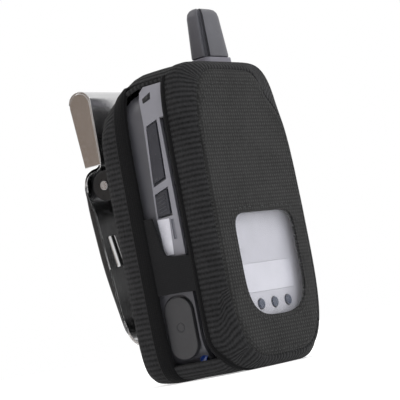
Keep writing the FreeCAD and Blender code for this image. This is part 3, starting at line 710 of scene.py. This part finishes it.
def straight_cut(profile, low=-1.0, high=1.0):
    """Width and length of a strip with this profile, where it lies between two heights."""
    across = sum(math.dist(a, b) for a, b in zip(profile, profile[1:])) * MM
    along = sum((b - a).length for a, b in zip(RULER, RULER[1:]) if low <= a.z <= high)
    print("strip cut %.1f x %.1f mm" % (across / MM, along / MM))
    return across, along


def curved_cut(points):
    """Width and length of a panel with this closed outline of (across, up) points, and the area inside it."""
    wide, tall = (max(values) - min(values) for values in zip(*points))
    area = abs(sum(a * d - c * b for (a, b), (c, d) in zip(points, points[1:] + points[:1]))) / 2
    print("panel cut %.1f x %.1f mm, %.2f square centimetres" % (wide / MM, tall / MM, area * 1e4))
    return (wide, tall), area


def around(shape):
    """A closed shape(turn) as seen from the front."""
    return [(p.x, p.z) for p in (shape(step / TURNS) for step in range(TURNS))]


flat, whole = curved_cut(around(lambda turn: cover_outline(turn, *SEAM)))
opening = curved_cut(around(window_edge))[1]
flat, whole = curved_cut(around(lambda turn: window_edge(turn, -VINYL_MARGIN)))
flat, whole = curved_cut(around(lambda turn: outline(turn, *BACK_RIM)))
flat, whole = curved_cut([(y * MM, z * MM) for y, z in GUSSET])
straight_cut(FRONT_PROFILE)
straight_cut(REAR_PROFILE)
straight_cut(MIDDLE_PROFILE[2:], low=OPENING_TOP)
straight_cut(MIDDLE_PROFILE, high=OPENING_LOW)

# %% [markdown]
# ## The steel clip
# The lever is one piece of sheet steel, pressed so that both its edges turn over. Such a channel is drawn
# by its side line first, as a chain of edges, and that chain is then extruded across the width: up one
# flange, round the bend, over the flat, and down the other flange. A Solidify modifier gives the sheet its
# thickness.

# %% Channels of sheet steel
CLIP_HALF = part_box("clip_lever")[1][0]
SHEET_STEEL = 0.9 * MM
PRESSED_BEND = 0.2 * MM
LACQUER_TOP = 71 * MM


def smooth_line(points, per_span=6):
    """Catmull-Rom curve through (y, z) points given in millimetres."""
    ends = [points[0]] + points + [points[-1]]
    line = []
    for a, b, c, d in zip(ends, ends[1:], ends[2:], ends[3:]):
        a, b, c, d = (Vector((0, *p)) * MM for p in (a, b, c, d))
        for i in range(per_span):
            u = i / per_span
            line.append(0.5 * (2 * b + (c - a) * u + (2 * a - 5 * b + 4 * c - d) * u * u
                               + (3 * b - a - 3 * c + d) * u ** 3))
    line.append(Vector((0, *points[-1])) * MM)
    return line


def channel(name, points, half, depth, bend, inward):
    """A bent strip along a line. Both edges fold by depth(share along), above 0 towards inward."""
    line = smooth_line(points)
    last = len(line) - 1
    bm = bmesh.new()
    verts = [bm.verts.new(p) for p in line]
    edges = [bm.edges.new(pair) for pair in zip(verts, verts[1:])]
    normals = []
    for i in range(len(line)):
        along = (line[min(i + 1, last)] - line[max(i - 1, 0)]).normalized()
        normal = along.cross(Vector((1, 0, 0)))
        inward = normal if normal.dot(inward) > 0 else -normal
        normals.append(inward)
    arc = [math.radians(angle) for angle in (90, 67.5, 45, 22.5, 0)]
    section = [(-half, None)] + [(-half + bend * (1 - math.sin(a)), bend * (1 - math.cos(a))) for a in arc]
    section += [(-x, fold) for x, fold in section[::-1]]

    def place(i, x, fold):
        reach = depth(i / last)
        rounding = share(abs(reach), 0, 2 * bend)
        distance = abs(reach) if fold is None else fold * rounding
        return line[i] + normals[i] * math.copysign(distance, reach) + Vector((x, 0, 0))

    for i, vert in enumerate(verts):
        vert.co = place(i, *section[0])
    ring = verts
    for x, fold in section[1:]:
        made = bmesh.ops.extrude_edge_only(bm, edges=edges)["geom"]
        fresh = {}
        for vert in verts_of(made):
            start = [e.other_vert(vert) for e in vert.link_edges if e.other_vert(vert) in ring][0]
            fresh[ring.index(start)] = vert
        ring = [fresh[i] for i in range(len(line))]
        for i, vert in enumerate(ring):
            vert.co = place(i, x, fold)
        edges = edges_of(made)
    bm.normal_update()
    for face in bm.faces:
        # Below LACQUER_TOP the jaw's folded edges are given the black finish, so they look dark. The rim that
        # they end in is bare.
        sideways = abs(face.normal.x) > 0.7
        face.material_index = int(sideways and face.calc_center_median().z < LACQUER_TOP)
    piece = finished(name, bm, POLISHED, body="clip", crease=50, thickness=SHEET_STEEL, offset=0,
                     bevel=PRESSED_BEND)
    piece.data.materials.append(LACQUER)
    piece.modifiers["Wall"].material_offset_rim = -1
    return piece


# %% [markdown]
# The lever starts behind the thumb tab, rolls over its top, comes down its face, turns back over the pivot
# in a hook, and runs down the jaw to the curl that lets a belt in.

# %% The lever
TAB = [(35.9, 97.4), (35.3, 98.9), (33.9, 100.1), (31.8, 100.6), (29.6, 100.1), (28.0, 98.6),
       (27.5, 96.3), (27.6, 86), (27.7, 78)]
HOOK = [(28.1, 75.4), (29.5, 74.3), (31.9, 73.9), (34.2, 72.6), (35.5, 69.5)]
JAW = [(35.8, 62), (35.1, 51.7), (34.1, 41.3), (32.3, 30.8), (30.3, 22)]
CURL = [(28.5, 17.4), (25.8, 14.9), (22.4, 14.4), (19.3, 16)]
LEVER = TAB + HOOK + JAW + CURL
HOOK_END, FOLD_END = (LEVER.index(part[-1]) / (len(LEVER) - 1) for part in (HOOK, JAW))
FOLD_DEPTH = 2.2 * MM


def lever_fold(along):
    """The jaw's edges fold towards the case. The tab and the hook have no fold."""
    begun = share(along, HOOK_END, HOOK_END + 0.06)
    ended = share(along, FOLD_END - 0.1, FOLD_END + 0.02)
    return -FOLD_DEPTH * begun * (1 - ended)


lever = channel("clip_sheet", LEVER, CLIP_HALF, lever_fold, 0.6 * MM, Vector((0, -1, 0)))

# %% [markdown]
# Flat plates close the thumb tab's two sides, and a pair of black ears holds the pin that the lever swings
# on. Each begins as a disc whose edge is then drawn out.

# %% Tab sides, ears and belt stops
TAB_ROUND = 4.3 * MM
TAB_MIDDLE = (31.8 * MM, 96.2 * MM)
TAB_FOOT, TAB_TAPER = -20.8 * MM, 0.8
PIVOT = (28.9 * MM, 68.6 * MM)
EAR_ROUND = 4.6 * MM


def upright_disc(bm, radius):
    made = bmesh.ops.create_circle(bm, cap_ends=True, segments=36, radius=radius)["verts"]
    turned(bm, made, 90, "Y")
    return made


bm = bmesh.new()
for side in (-1, 1):
    made = upright_disc(bm, TAB_ROUND)
    for vert in made:
        # The lower half of the disc is drawn down to the foot of the tab, a little narrower there.
        if vert.co.z < -0.01 * MM:
            vert.co.z = TAB_FOOT
            vert.co.y = (vert.co.y + TAB_ROUND) * TAB_TAPER - TAB_ROUND
    bmesh.ops.translate(bm, verts=made, vec=(side * (CLIP_HALF - 0.3 * MM), *TAB_MIDDLE))
tab_sides = finished("clip_tab_sides", bm, POLISHED, body="clip", thickness=0.8 * MM, offset=0,
                     bevel=PRESSED_BEND)

bm = bmesh.new()
for side in (-1, 1):
    made = upright_disc(bm, EAR_ROUND)
    for vert in made:
        # The disc's top and back are drawn out to meet the hook.
        if vert.co.z > 0:
            vert.co.z *= 1.15
        if vert.co.y > 0:
            vert.co.y *= 1.4
    bmesh.ops.translate(bm, verts=made, vec=(side * 15.7 * MM, *PIVOT))
ears = finished("clip_ears", bm, LACQUER, body="clip", thickness=SHEET_STEEL, offset=0, bevel=PRESSED_BEND)

# A bright pin stands inside the jaw on each side and keeps the belt from slipping out.
bm = bmesh.new()
for side in (-1, 1):
    made = bmesh.ops.create_cone(bm, cap_ends=True, segments=20, radius1=1.5 * MM, radius2=1.5 * MM,
                                 depth=11 * MM)["verts"]
    turned(bm, made, -10, "X")
    bmesh.ops.translate(bm, verts=made, vec=(side * 16.5 * MM, 31.0 * MM, 46.5 * MM))
stops = finished("belt_stops", bm, POLISHED, body="clip", bevel=0.4 * MM)
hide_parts("clip_lever")

# %% [markdown]
# ## The aerial's cap
# The stub is a flattened, tapering moulding with a groove down its front left corner. It is a ring extruded
# upwards while it shrinks, and the groove is a dip in the ring's own shape.

# %% Aerial cap
cap_low, cap_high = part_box("antenna_cap")
CAP_MIDDLE = [(low + high) / 2 for low, high in zip(cap_low, cap_high)]
CAP_HALF = [(high - low) / 2 for low, high in zip(cap_low, cap_high)]
GROOVE_TURN, GROOVE_HALF, GROOVE_DEPTH = 0.875, 0.058, 0.3


def cap_ring(turn, inset, z):
    """The cap's section at a height, turn 0 at the front."""
    angle = 2 * math.pi * turn
    rise = (z - cap_low[2]) / (cap_high[2] - cap_low[2])
    half_x = CAP_HALF[0] - 1.3 * MM * rise - inset
    half_y = CAP_HALF[1] - 0.7 * MM * rise - inset
    x = half_x * signed_power(math.sin(angle), 2 / 4.5)
    y = -half_y * signed_power(math.cos(angle), 2 / 4.5)
    groove = 1 - GROOVE_DEPTH * share(GROOVE_HALF - abs(turn - GROOVE_TURN), 0, 0.016)
    return Vector((CAP_MIDDLE[0] + x * groove, CAP_MIDDLE[1] + y * groove, z))


bm = bmesh.new()
foot, top = cap_low[2], cap_high[2]
ring = ring_on_outline(bm, (0.6 * MM, foot + 0.05 * MM), cap_ring)
steps = [(0.1, foot + 0.3 * MM), (0, foot + 0.8 * MM), (0, foot + 8 * MM), (0, top - 3 * MM)]
steps += [(0.25, top - 1.6 * MM), (0.9, top - 0.6 * MM), (1.8, top - 0.1 * MM), (2.4, top)]
for inset, z in steps:
    ring = extrude_ring(bm, ring, lambda turn: cap_ring(turn, inset * MM, z))
bmesh.ops.edgeloop_fill(bm, edges=ring)
cap = finished("aerial_stub", bm, AERIAL, body="aerial", crease=40)
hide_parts("antenna_cap")

# %% [markdown]
# ## Small details on the handset
# The thumb key has raised ribs, and the socket cover carries a raised ring. A small blue lens sits at the
# foot of the body.

# %% Ribs of the thumb key
talk_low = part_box("talk_key")[0]
RIBS, RIB_START, RIB_PITCH = 5, 1.4, 1.15


def soften(bm, radius):
    """Rounds every edge."""
    bmesh.ops.bevel(bm, geom=bm.edges[:], offset=radius, affect="EDGES", segments=2, profile=0.5, material=-1)


bm = bmesh.new()
for i in range(RIBS):
    z = talk_low[2] + (RIB_START + RIB_PITCH * i) * MM
    made = bmesh.ops.create_cube(bm, size=1)["verts"]
    bmesh.ops.scale(bm, verts=made, vec=(0.5 * MM, 3.6 * MM, 0.5 * MM))
    turned(bm, made, -14, "X")
    bmesh.ops.translate(bm, verts=made, vec=(talk_low[0], 1.15 * MM, z))
soften(bm, 0.15 * MM)
ribs = finished("thumb_ribs", bm, KEY_GREY, body="talk")

# %% [markdown]
# The silver frame has a pale patch at its foot and a cord hole near its top. Both are thin plates on its
# side;
# the hole's plate is black and paints the shade inside the hole.

# %% Inlays of the frame
FRAME_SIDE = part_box("left_side_frame")[0][0]
PATCH = [(4.5, 52.4), (-0.3, 52.2), (0.4, 40.5), (4.0, 40.6)]
CORD_HOLE_SHADE = [(1.5, 91.5), (-2.0, 93.0), (-1.6, 90.8), (1.5, 89.9)]


def inlay(name, corners, x, depth, material):
    """A thin plate with those (y, z) corners in millimetres, raised from x outwards by depth."""
    bm = bmesh.new()
    face = bm.faces.new([bm.verts.new((x, y * MM, z * MM)) for y, z in corners])
    made = bmesh.ops.extrude_face_region(bm, geom=[face])["geom"]
    bmesh.ops.translate(bm, verts=verts_of(made), vec=(-depth, 0, 0))
    soften(bm, depth * 0.4)
    return finished(name, bm, material, body="handset")


patch = inlay("light_patch", PATCH, FRAME_SIDE, 0.25 * MM, LIGHT_PATCH)
# A black plate paints the shade inside the cord hole.
hole_shade = inlay("cord_hole_shade", CORD_HOLE_SHADE, FRAME_SIDE, 0.03 * MM, BLACK)

# %% [markdown]
# The ring on the socket cover is a small circle spun about an axis, and the lens is a squashed sphere.

# %% Ring on the socket cover, and lens
cover_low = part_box("connector_cover")[0]
RING_RADIUS, RING_WIRE = 1.4 * MM, 0.16 * MM
bm = bmesh.new()
profile = bmesh.ops.create_circle(bm, segments=8, radius=RING_WIRE)["verts"]
turned(bm, profile, 90, "X")
bmesh.ops.translate(bm, verts=profile, vec=(RING_RADIUS, 0, 0))
bmesh.ops.spin(bm, geom=bm.verts[:] + bm.edges[:], cent=(0, 0, 0), axis=(0, 0, 1), angle=2 * math.pi,
               steps=28, use_merge=True)
turned(bm, bm.verts, 90, "Y")
bmesh.ops.translate(bm, verts=bm.verts, vec=(cover_low[0], 2.8 * MM, 17.3 * MM))
cover_ring = finished("cover_ring", bm, RUBBER, body="socket_cover")

bm = bmesh.new()
bmesh.ops.create_uvsphere(bm, u_segments=24, v_segments=12, radius=1)
bmesh.ops.scale(bm, verts=bm.verts, vec=(0.6 * MM, 1.5 * MM, 2.0 * MM))
turned(bm, bm.verts, 35, "Y")
bmesh.ops.translate(bm, verts=bm.verts, vec=(-23.6 * MM, -1.6 * MM, 6.6 * MM))
BLUE_LENS = moulded("blue_lens", (0.01, 0.03, 0.16), 0.15, edge=0, coat=1.0)
lens = finished("foot_lens", bm, BLUE_LENS, body="handset")

# %% [markdown]
# ## Floor, light and camera
# A broad pale floor and a white surround light the black fabric from all sides, as in a studio tent. Two
# soft lamps give the woven threads their relief.

# %% Floor
bm = bmesh.new()
bmesh.ops.create_grid(bm, x_segments=1, y_segments=1, size=6)
FLOOR, _, floor_shader = new_finish("floor_paper")
floor_shader.inputs["Base Color"].default_value = (0.97, 0.97, 0.97, 1)
floor_shader.inputs["Roughness"].default_value = 0.9
floor_shader.inputs["Emission Color"].default_value = (1, 1, 1, 1)
floor_shader.inputs["Emission Strength"].default_value = 0.4
floor = finished("floor", bm, FLOOR)

# %% [markdown]
# Polished steel shows what stands around it. A warm grey card to the left and behind gives the clip
# something darker than white to reflect. The camera itself doesn't see the card.

# %% Grey card
bm = bmesh.new()
bmesh.ops.create_grid(bm, x_segments=1, y_segments=1, size=0.75)
upright = Matrix.Rotation(math.radians(90), 4, "Y")
towards_clip = Matrix.Rotation(math.radians(-54), 4, "Z")
place = Matrix.Translation((-1.15, 0.85, 0.35))
bmesh.ops.transform(bm, verts=bm.verts, matrix=place @ towards_clip @ upright)
CARD = moulded("grey_card", (0.25, 0.2, 0.165), 0.8, edge=0)
card = finished("card", bm, CARD)
card.visible_camera = False

# %% [markdown]
# The white surround lights everything evenly. The key lamp is high in front and the rim lamp high behind.

# %% Lights
world = bpy.data.worlds.new("studio")
bpy.context.scene.world = world
world.use_nodes = True
surround = world.node_tree.nodes["Background"]
surround.inputs["Color"].default_value = (1, 1, 1, 1)
surround.inputs["Strength"].default_value = 1.0


def lamp(name, place, target, size, power):
    light = bpy.data.lights.new(name, "AREA")
    light.size = size
    light.energy = power
    lamp_object = bpy.data.objects.new(name, light)
    lamp_object.location = place
    lamp_object.rotation_euler = (Vector(target) - Vector(place)).to_track_quat("-Z", "Y").to_euler()
    bpy.context.scene.collection.objects.link(lamp_object)
    print(name, power, "W")


lamp("key_lamp", (0.25, -0.85, 0.8), (0, 0, 0.06), 0.4, 2.6)
lamp("rim_lamp", (-0.5, 0.7, 0.9), (0, 0, 0.08), 0.3, 1.0)

# %% [markdown]
# The camera stands to the handset's left, a little below its middle, and is rolled so that the handset
# leans.

# %% Camera
AZIMUTH, ELEVATION, ROLL = math.radians(-55.04), math.radians(-4.5), math.radians(-10.94)
TARGET = Vector((-2.3, 3.29, 57.7)) * MM
DISTANCE = 578.8 * MM
LENS = 157.4
flat_way = Vector((-math.sin(AZIMUTH), math.cos(AZIMUTH), 0))
forward = flat_way * math.cos(ELEVATION) - Vector((0, 0, math.sin(ELEVATION)))
level_right = forward.cross(Vector((0, 0, 1))).normalized()
level_up = level_right.cross(forward)
right = level_right * math.cos(ROLL) + level_up * math.sin(ROLL)
up = right.cross(forward)
camera_data = bpy.data.cameras.new("camera")
camera_data.lens = LENS
camera_data.sensor_width = 36
camera_data.clip_start = 0.01
camera_data.clip_end = 50
camera = bpy.data.objects.new("camera", camera_data)
facing = Matrix((right, up, -forward)).transposed().to_4x4()
camera.matrix_world = Matrix.Translation(TARGET - forward * DISTANCE) @ facing
bpy.context.scene.collection.objects.link(camera)
bpy.context.scene.camera = camera
bpy.context.scene.view_settings.view_transform = "Standard"
print("camera at", [round(c, 4) for c in camera.location], "right", [round(c, 3) for c in right])
